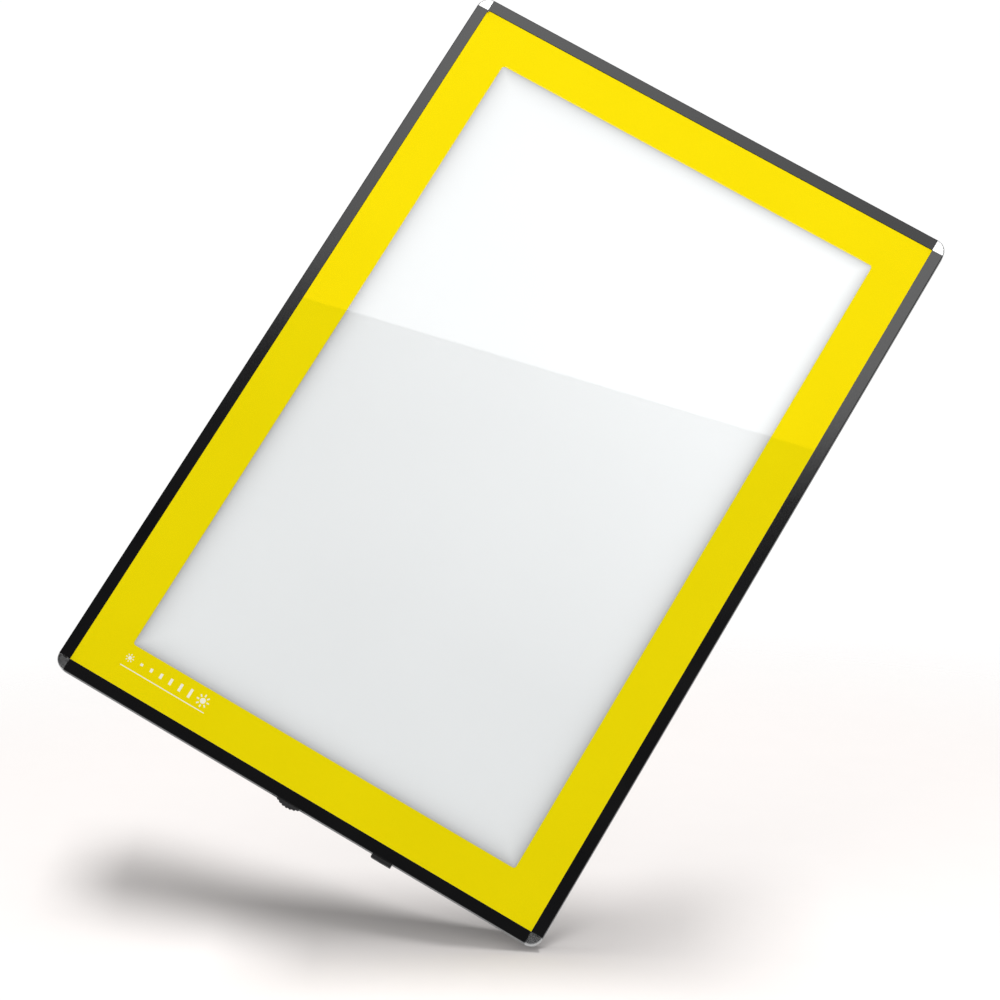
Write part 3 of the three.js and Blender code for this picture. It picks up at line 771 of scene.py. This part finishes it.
def cross_slot():
    """The cross in a screw's head, which faces down."""
    wide, deep, long = 0.17 * MM, 0.5 * MM, 0.85 * MM
    sizes = ((long, wide), (wide, long))
    return [block((-x, -y, -MM), (x, y, deep)) for x, y in sizes]


def build_corner_screws():
    for name in [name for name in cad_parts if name.startswith("screw_")]:
        centre = centre_of(name)
        screw = mesh_object(f"corner_{name}", screw_bmesh(), "steel")
        combine(screw, cross_slot())
        twist = Matrix.Rotation(centre.x * 9 + centre.y * 5, 4, "Z")  # no two alike
        screw.data.transform(Matrix.Translation((centre.x, centre.y, BACK_PLANE)) @ twist)
        soften(screw, 0.0, angle=40)
        settle(screw, "panel", name)


# ---- Dimmer wheel and its screw ----


def wheel_ring(radius, z, share):
    """A ring of the wheel, with the knurl cut to a share of its full depth."""
    ribs, steps_per_rib, knurl = 36, 12, 0.5 * MM
    ring = []
    for i in range(ribs * steps_per_rib):
        angle = 2 * math.pi * i / (ribs * steps_per_rib)
        cut = share * knurl * (0.5 - 0.5 * math.cos(ribs * angle)) ** 1.5
        ring.append(((radius - cut) * math.cos(angle), (radius - cut) * math.sin(angle), z))
    return ring


def wheel_profile(radius, bottom, top):
    """The wheel's section, round from its bore, as (radius, height, share of the knurl)."""
    bore, hub, recess, seat = 2.05 * MM, 2.8 * MM, 5.9 * MM, 3.2 * MM
    wiper_room, screw_room = 0.7 * MM, 0.75 * MM
    edge, half_cut = 0.22 * MM, 0.7
    face = radius - 1.1 * MM
    dish, dish_start = 0.25 * MM, seat + 1.95 * MM
    return [
        (bore, bottom, 0),
        (hub, bottom, 0),
        (hub, bottom + wiper_room, 0),
        (recess, bottom + wiper_room, 0),
        (recess, bottom, 0),
        (face, bottom, 0),
        (radius - edge, bottom, half_cut),
        (radius, bottom + edge, 1),
        (radius, top - edge, 1),
        (radius - edge, top, half_cut),
        (face, top, 0),
        (face - dish, top - dish, 0),
        (dish_start + dish, top - dish, 0),
        (dish_start, top, 0),
        (seat, top, 0),
        (seat, top - screw_room, 0),
        (bore, top - screw_room, 0),
    ]


def build_wheel():
    """A knurled thumbwheel with a stop tab under it and a pointer dot in its top."""
    low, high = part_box("dimmer_wheel")
    centre = (low + high) / 2
    top, bottom = high.z, high.z - WHEEL_T
    radius = (high.x - low.x) / 2
    rings = [wheel_ring(*step) for step in wheel_profile(radius, bottom, top)]
    wheel = mesh_object("thumbwheel", stack(rings, looped=True), "wheel")
    tab_in, tab_out, tab_half, tab_drop = 6.4 * MM, 8.0 * MM, 1.0 * MM, 0.45 * MM
    tab = block((-tab_half, -tab_out, bottom - tab_drop), (tab_half, -tab_in, bottom + 0.1 * MM))
    combine(wheel, [tab], "UNION")
    dot = drum(0.8 * MM, top - 0.3 * MM, top + MM, 32)
    combine(wheel, [moved(dot, Matrix.Translation((0, -(radius - 2.4 * MM), 0)))])
    wheel.data.transform(Matrix.Translation((centre.x, centre.y, 0)))
    soften(wheel, 0.0, angle=38)
    settle(wheel, "dimmer", "dimmer_wheel")


def build_pivot_screw():
    low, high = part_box("dimmer_pivot_screw")
    centre = (low + high) / 2
    shank, head, thick, point, rim = 0.8 * MM, 2.7 * MM, 0.6 * MM, 0.15 * MM, 0.08 * MM
    under = high.z - thick
    profile = [
        (0, low.z),
        (shank * 0.7, low.z),
        (shank, low.z + point),
        (shank, under),
        (head - rim, under),
        (head, under + rim),
        (head, under + 0.35 * MM),
        (head * 0.93, under + 0.5 * MM),
        (head * 0.8, high.z),
        (0, high.z),
    ]
    screw = mesh_object("wheel_screw", turned(profile, 48), "steel")
    slot_half, slot_depth = 0.3 * MM, 0.3 * MM
    slot = ((-3 * MM, -slot_half, high.z - slot_depth), (3 * MM, slot_half, high.z + MM))
    combine(screw, [block(*slot)])
    screw.data.transform(Matrix.Translation((centre.x, centre.y, 0)))
    soften(screw, 0.0, angle=40)
    settle(screw, "dimmer", "dimmer_pivot_screw")


# ---- Power socket ----


def lay_forward(bm, centre, y):
    """Turns a shape modelled along Z so that it runs along +Y from y."""
    place = Matrix.Translation((centre.x, y, centre.z)) @ Matrix.Rotation(-QUARTER, 4, "X")
    return moved(bm, place)


def build_socket():
    """The socket's body, with the plug's well, a hole for the pin and room for the side contact."""
    low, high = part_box("socket_body")
    centre, size = (low + high) / 2, high - low
    shell = soft_slab(size.x, size.z, 0.5 * MM, size.y, 0.15 * MM)
    body = mesh_object("socket_shell", lay_forward(shell, centre, low.y), "black")
    plug_r, pin_r, floor, mouth = 1.85 * MM, 0.7 * MM, 1.5 * MM, 0.3 * MM
    end = size.y - floor
    well = turned([(0, -MM), (plug_r + mouth + MM, -MM), (plug_r, mouth), (plug_r, end), (0, end)], 64)
    pin_hole = drum(pin_r, end - floor, size.y + MM, 32)
    contact_low, contact_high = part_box("socket_contact")
    room = Vector((0.15, 0.15, 0.15)) * MM
    contact_room = block(contact_low - room, contact_high + room)
    holes = [lay_forward(shape, centre, low.y) for shape in (well, pin_hole)]
    combine(body, holes + [contact_room])
    soften(body, 0.0, angle=40)
    settle(body, "panel", "socket_body")


def build_bezel():
    low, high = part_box("socket_bezel")
    size = high - low
    slab = soft_slab(size.x, size.z, 1.2 * MM, size.y, 0.35 * MM)
    bezel = mesh_object("socket_frame", lay_forward(slab, (low + high) / 2, low.y), "black")
    inner_low, inner_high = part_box("socket_body")
    inner, gap = inner_high - inner_low, 0.15 * MM
    outline = rounded_rect(inner.x + 2 * gap, inner.z + 2 * gap, 0.55 * MM)
    opening = prism(outline, -MM, size.y + MM)
    combine(bezel, [lay_forward(opening, (inner_low + inner_high) / 2, low.y)])
    soften(bezel, 0.12 * MM, 2, 40)
    settle(bezel, "panel", "socket_bezel")


# ---- Feet ----


def build_feet():
    """Round rubber feet, dished underneath."""
    for corner in CORNERS:
        node = f"foot_{corner}"
        low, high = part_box(node)
        centre = (low + high) / 2
        radius = (high.x - low.x) / 2
        dish = 0.25 * MM
        profile = [(0, dish), (radius * 0.5, dish), (radius * 0.56, 0.03 * MM), (radius * 0.6, 0)]
        profile += [(radius - inset, z) for inset, z in rounding(0.8 * MM, 6)]
        profile += [(radius, high.z), (0, high.z)]
        foot = mesh_object(f"rubber_foot_{corner}", turned(profile, 64), "rubber")
        foot.data.transform(Matrix.Translation((centre.x, centre.y, 0)))
        soften(foot, 0.0, angle=40)
        settle(foot, "panel", node)


# ---- LED strips, with the packages on their boards ----


def led_package(x, face, middle):
    """One white package with its phosphor window, facing +Y, at x along the strip."""
    half_w, half_h, deep, seated = 1.7 * MM, 1.2 * MM, 0.7 * MM, 0.02 * MM
    rim, window_depth = 0.35 * MM, 0.15 * MM
    back_corner = (x - half_w, face - seated, middle - half_h)
    bm = block(back_corner, (x + half_w, face + deep, middle + half_h))
    front = max(bm.faces, key=lambda f: f.calc_center_median().y)
    bmesh.ops.inset_region(bm, faces=[front], thickness=rim, depth=0.0)
    bmesh.ops.translate(bm, verts=front.verts, vec=(0, -window_depth, 0))
    front.material_index = 1
    return bm


def build_led_strips():
    count, pitch = 46, 10 * MM
    board_t = 1.0 * MM
    back = RAIL_WALL + 0.1 * MM
    face = back + board_t
    for side in ("left", "right"):
        node = f"led_strip_{side}"
        low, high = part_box(node)
        half, low_z, high_z = (high.y - low.y) / 2, low.z - BACK_PLANE, high.z - BACK_PLANE
        middle = (low_z + high_z) / 2
        parts = [block((-half, back, low_z), (half, face, high_z))]
        parts += [led_package((i - (count - 1) / 2) * pitch, face, middle) for i in range(count)]
        strip = mesh_object(f"led_bar_{side}", moved(merged(parts), placement(SIDES[side])), "white")
        strip.data.materials.append(materials["phosphor"])
        soften(strip, 0.0, angle=30)
        settle(strip, "panel", node)


# ---- Parts on the dimmer board ----


def build_chip():
    """A driver chip with gull-wing legs."""
    low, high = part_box("board_driver_chip")
    reach, tuck, stand = 0.5 * MM, 0.1 * MM, 0.1 * MM
    leg_half, leg_t, legs = 0.2 * MM, 0.35 * MM, 4
    parts = [block((low.x + reach, low.y, low.z + stand), (high.x - reach, high.y, high.z))]
    resin_faces = len(parts[0].faces)
    for i in range(legs):
        y = low.y + (high.y - low.y) * (i + 0.5) / legs
        for start, end in ((low.x, low.x + reach + tuck), (high.x - reach - tuck, high.x)):
            parts.append(block((start, y - leg_half, low.z), (end, y + leg_half, low.z + leg_t)))
    chip = mesh_object("driver_chip", merged(parts), "chip")
    chip.data.materials.append(materials["steel"])
    for face in chip.data.polygons:
        face.material_index = 0 if face.index < resin_faces else 1
    soften(chip, 0.06 * MM, 2)
    settle(chip, "panel", "board_driver_chip")


def build_inductor():
    """A wound inductor: flanges with copper turns between them."""
    low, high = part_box("board_inductor")
    centre = (low + high) / 2
    radius = (high.x - low.x) / 2
    root, crest = radius * 0.82, radius * 0.88
    flange, turns, step = 0.5 * MM, 5, 0.02 * MM
    tall = (high.z - low.z - 2 * flange) / turns
    profile = [(0, low.z), (radius, low.z), (radius, low.z + flange)]
    for i in range(turns):
        z = low.z + flange + i * tall
        profile += [(root, z + step), (crest, z + tall / 2)]
    profile += [(root, high.z - flange), (radius, high.z - flange), (radius, high.z), (0, high.z)]
    coil = mesh_object("wound_inductor", turned(profile, 48), "chip")
    coil.data.materials.append(materials["copper"])
    for face in coil.data.polygons:
        wound = low.z + flange < face.center.z < high.z - flange
        face.material_index = 1 if wound else 0
    coil.data.transform(Matrix.Translation((centre.x, centre.y, 0)))
    soften(coil, 0.0, angle=50)
    settle(coil, "panel", "board_inductor")


def build_connector():
    """A shrouded header, open to the rear."""
    low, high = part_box("board_led_connector")
    shell = mesh_object("led_header", block(low, high), "white")
    wall = 0.5 * MM
    inner = low + Vector((wall, wall, wall))
    well = block(inner, (high.x - wall, high.y + MM, high.z - wall))
    combine(shell, [well])
    soften(shell, 0.08 * MM, 2)
    settle(shell, "panel", "board_led_connector")


def build_soft_block(name, node, look, edge):
    """A plain rectangular part with moulded edges."""
    low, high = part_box(node)
    part = mesh_object(name, block(low, high), look)
    soften(part, edge, 3)
    settle(part, "panel", node)


# ---- The printed mark: a rule with a dim and a bright sun, and no lettering ----


def sun(x, y, radius, low, high):
    """A disc with rays, from height low to height high."""
    rays = 8
    place = Matrix.Translation((x, y, 0))
    parts = [moved(drum(radius * 0.42, low, high, 32), place)]
    for i in range(rays):
        ray = block((radius * 0.62, -radius * 0.1, low), (radius, radius * 0.1, high))
        parts.append(moved(ray, place @ Matrix.Rotation(2 * math.pi * i / rays, 4, "Z")))
    return parts


def build_mark():
    """Ink on the border's front face, in the thin gap under the cover."""
    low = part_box("border_print")[1].z + 0.01 * MM
    high = low + 0.02 * MM
    left, length, rule_half = -WINDOW_HALF.x, 62 * MM, 0.28 * MM
    rule = -WINDOW_HALF.y - 15 * MM
    row = rule + 6.4 * MM
    parts = [block((left, rule - rule_half, low), (left + length, rule + rule_half, high))]
    bars, bar_half, first, last = 6, 0.9 * MM, 12 * MM, length - 14 * MM
    for i in range(bars):
        x = left + first + i * (last - first) / (bars - 1)
        half = (1.6 + 0.9 * i) * MM / 2
        parts.append(block((x - bar_half, row - half, low), (x + bar_half, row + half, high)))
    parts += sun(left + 3.2 * MM, row, 2.8 * MM, low, high)
    parts += sun(left + length - 4.6 * MM, row, 4.4 * MM, low, high)
    mark = mesh_object("brightness_mark", merged(parts), "mark")
    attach(mark, "panel")


# ---- CAD nodes whose shape is right ----

CARRIED = {
    "cover_sheet": "cover",
    "border_print": "ink",
    "diffuser_sheet": "opal",
    "light_guide": "guide",
    "reflector_sheet": "film",
    "back_panel": "back",
    "guide_stop_bar": "white",
    "rear_foam_strip": "foam",
    "dimmer_base": "black",
    "dimmer_wiper": "brass",
    "board_tape": "foam",
    "dimmer_board": "board",
    "socket_pin": "steel",
    "socket_contact": "brass",
    "wire_supply_positive": "red",
    "wire_supply_negative": "dark",
    "wire_left_positive": "red",
    "wire_left_negative": "dark",
    "wire_right_positive": "red",
    "wire_right_negative": "dark",
}


def carry_nodes():
    for node, look in CARRIED.items():
        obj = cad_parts[node]
        for slot in obj.material_slots:
            slot.link = "OBJECT"
            slot.material = materials[look]


# ---- Studio ----


def view_turn():
    azimuth, elevation = math.radians(VIEW_AZIMUTH), math.radians(VIEW_ELEVATION)
    flat = math.cos(elevation)
    back = Vector((math.sin(azimuth) * flat, -math.cos(azimuth) * flat, math.sin(elevation)))
    level = (-back).to_track_quat("-Z", "Y")
    return Quaternion(back, math.radians(VIEW_ROLL)) @ level, back


def build_camera():
    turn, back = view_turn()
    data = bpy.data.cameras.new("camera")
    data.lens = VIEW_LENS
    data.sensor_width = 36.0
    data.clip_end = 100.0
    camera = bpy.data.objects.new("camera", data)
    camera.rotation_mode = "QUATERNION"
    camera.rotation_quaternion = turn
    camera.location = Vector((*VIEW_AIM, TOP_PLANE)) + back * VIEW_DISTANCE
    bpy.context.scene.collection.objects.link(camera)
    bpy.context.scene.camera = camera
    return camera


def area_light(name, centre, x_axis, facing, size, radiance):
    """A rectangular light with a given radiance, which shines along facing."""
    data = bpy.data.lights.new(name, "AREA")
    data.shape = "RECTANGLE"
    data.size, data.size_y = size
    data.energy = radiance * math.pi * size[0] * size[1]
    light = bpy.data.objects.new(name, data)
    z = -facing.normalized()
    x = (x_axis - z * x_axis.dot(z)).normalized()
    y = z.cross(x)
    turn = Matrix((x, y, z)).transposed().to_4x4()
    light.matrix_world = Matrix.Translation(centre) @ turn
    hide_from(light, "camera")
    bpy.context.scene.collection.objects.link(light)
    return light


def build_softbox(camera):
    """The light whose lower edge shows as the straight line in the face's sheen."""
    eye = camera.location.copy()
    eye.z = 2 * TOP_PLANE - eye.z
    edge = []
    for x, y in ((-WINDOW_HALF.x, SHEEN_LEFT_Y), (WINDOW_HALF.x, SHEEN_RIGHT_Y)):
        on_face = Vector((x, y, TOP_PLANE))
        reach = (TOP_PLANE + SOFTBOX_HEIGHT - eye.z) / (on_face.z - eye.z)
        edge.append(eye + (on_face - eye) * reach)
    along = (edge[1] - edge[0]).normalized()
    outward = Vector((-along.y, along.x, 0))
    centre = (edge[0] + edge[1]) / 2 + outward * SOFTBOX_SIZE[1] / 2
    return area_light("softbox", centre, along, Vector((0, 0, -1)), SOFTBOX_SIZE, SOFTBOX_RADIANCE)


def seen_from(s, eye):
    """1 where a camera ray comes from near eye, else 0. A ray's length starts at the near clip."""
    geometry = s.node("NewGeometry")
    path = s.node("LightPath")
    back = s.node("VectorMath", {0: geometry.outputs["Incoming"]}, operation="SCALE")
    s.feed(back.inputs["Scale"], path.outputs["Ray Length"])
    source = s.vector("ADD", geometry.outputs["Position"], back.outputs[0])
    return s.math("LESS_THAN", s.vector("DISTANCE", source, tuple(eye)), EYE_TOLERANCE)


def floor_material(name, eye, for_lean, reach, pale):
    """Plain pale floor that thins out towards its rim, and is only there from above."""
    s = Shader(name)
    from_eye = seen_from(s, eye)
    shown = from_eye if for_lean else s.flip(from_eye)
    radius = s.vector("LENGTH", s.place)
    rim = s.level(radius, reach * 0.5, reach * 0.95, 1.0, 0.0, smooth=True)
    grain = s.noise(30, 3.0)
    colour = s.blend(grain, rgb(*(0.98 * part for part in pale)), rgb(*pale))
    matt = s.node("BsdfDiffuse", {"Color": colour}).outputs[0]
    clear = s.node("BsdfTransparent").outputs[0]
    above = s.flip(s.node("NewGeometry").outputs["Backfacing"])
    opacity = s.math("MULTIPLY", s.math("MULTIPLY", shown, above), rim)
    return s.done(s.mix(opacity, clear, matt))


def build_floor(name, place, reach, look):
    bm = bmesh.new()
    bmesh.ops.create_circle(bm, cap_ends=True, segments=96, radius=reach)
    floor = mesh_object(name, bm)
    floor.data.materials.append(look)
    floor.matrix_world = place
    hide_from(floor, "diffuse", "glossy", "transmission", "shadow")
    return floor


def lean_axes():
    """The frame of the floor under the corner: across the view, away from it, and up."""
    across = LEAN_FLOOR_UP.cross(Vector((0, 0, 1))).normalized()
    deep = LEAN_FLOOR_UP.cross(across)
    inset = RAIL_W * 0.29  # to the middle of the corner block's round
    corner = Vector((HALF_W - inset, -HALF_L + inset, BACK_PLANE))
    turn = Matrix((across, deep, LEAN_FLOOR_UP)).transposed().to_4x4()
    return Matrix.Translation(corner) @ turn


def build_card(name, edges):
    """An unseen card that only shades the floor under the corner."""
    bm = bmesh.new()
    rows = [[bm.verts.new(point) for point in pair] for pair in edges]
    for near, far in zip(rows, rows[1:]):
        bm.faces.new((near[0], far[0], far[1], near[1]))
    card = mesh_object(name, moved(bm, lean_axes()))
    hide_from(card, "camera", "diffuse", "glossy", "transmission", "volume_scatter")
    return card


def build_floors(camera):
    lean_look = floor_material("lean_floor", camera.location, True, LEAN_REACH, LEAN_FLOOR_COLOUR)
    flat_look = floor_material("flat_floor", camera.location, False, FLAT_REACH, FLAT_FLOOR_COLOUR)
    lean = build_floor("lean_floor", lean_axes(), LEAN_REACH, lean_look)
    build_floor("flat_floor", Matrix.Translation((0, 0, -0.2 * MM)), FLAT_REACH, flat_look)
    return lean


def link_light(light, role, objects, state):
    """Limits what a light falls on, or what shades it, to some objects, or to all but them."""
    group = bpy.data.collections.new(f"{light.name}_{role}")
    for obj in objects:
        group.objects.link(obj)
    setattr(light.light_linking, role + "_collection", group)
    for entry in group.collection_objects:
        entry.light_linking.link_state = state


def grey(s, level):
    return s.node("CombineColor", {0: level, 1: level, 2: level}).outputs[0]


def build_world(camera):
    """White to the camera, even for diffuse light, and dark behind the camera for reflections."""
    world = bpy.data.worlds.new("studio")
    world.cycles.sampling_method = "NONE"
    bpy.context.scene.world = world
    s = Shader("studio", world)
    direction = s.node("TexCoord").outputs["Generated"]
    back = (camera.location - Vector((*VIEW_AIM, TOP_PLANE))).normalized()
    mirror = Vector((-back.x, -back.y, back.z))
    toward = s.vector("DOT_PRODUCT", direction, tuple(mirror))
    height = s.node("SeparateXYZ", {0: direction}).outputs[2]
    wall = s.level(toward, 0.35, 0.93, WALL_LEVEL, DARK_WALL_LEVEL, smooth=True)
    below = s.level(height, -0.05, -0.3, 0.0, 1.0, smooth=True)
    reflected = s.blend(below, grey(s, wall), rgb(*[BELOW_LEVEL] * 3))
    fill = grey(s, s.level(height, -1.0, 1.0, FILL_FROM_BELOW, FILL_FROM_ABOVE))
    path = s.node("LightPath").outputs
    lighting = s.blend(path["Is Diffuse Ray"], reflected, fill)
    colour = s.blend(path["Is Camera Ray"], lighting, rgb(*[BACKDROP_LEVEL] * 3))
    background = s.node("Background", {"Color": colour, "Strength": 1.0})
    s.node("OutputWorld", {"Surface": background.outputs[0]})


def build_lean_light(lean, cards):
    """The light over the leaning floor, which only that floor sees."""
    place = lean_axes()
    over = place @ Vector((0, 0, LEAN_LIGHT_HEIGHT))
    across = place.col[0].to_3d()
    size, radiance = LEAN_LIGHT_SIZE, LEAN_LIGHT_RADIANCE
    lamp = area_light("lean_light", over, across, -LEAN_FLOOR_UP, size, radiance)
    near_floor = ("front_rail", "right_rail", "corner_block_front_right")
    link_light(lamp, "receiver", [lean], "INCLUDE")
    link_light(lamp, "blocker", cards + [bpy.data.objects[name] for name in near_floor], "INCLUDE")


def build_studio():
    camera = build_camera()
    build_world(camera)
    lean = build_floors(camera)
    cards = [build_card("near_card", NEAR_CARD), build_card("wide_card", WIDE_CARD)]
    rails = [bpy.data.objects[f"{side}_rail"] for side in SIDES]
    softbox = build_softbox(camera)
    link_light(softbox, "receiver", [lean], "EXCLUDE")
    link_light(softbox, "blocker", cards + rails, "EXCLUDE")
    build_lean_light(lean, cards)
    bpy.context.scene.view_settings.view_transform = "Standard"
    bpy.context.scene.view_settings.look = "None"


# ---- Everything together ----

build_rails()
build_corners()
build_corner_screws()
build_wheel()
build_pivot_screw()
build_socket()
build_bezel()
build_feet()
build_led_strips()
build_chip()
build_inductor()
build_connector()
build_soft_block("film_capacitor", "board_capacitor", "tan", 0.4 * MM)
build_mark()
carry_nodes()
build_studio()
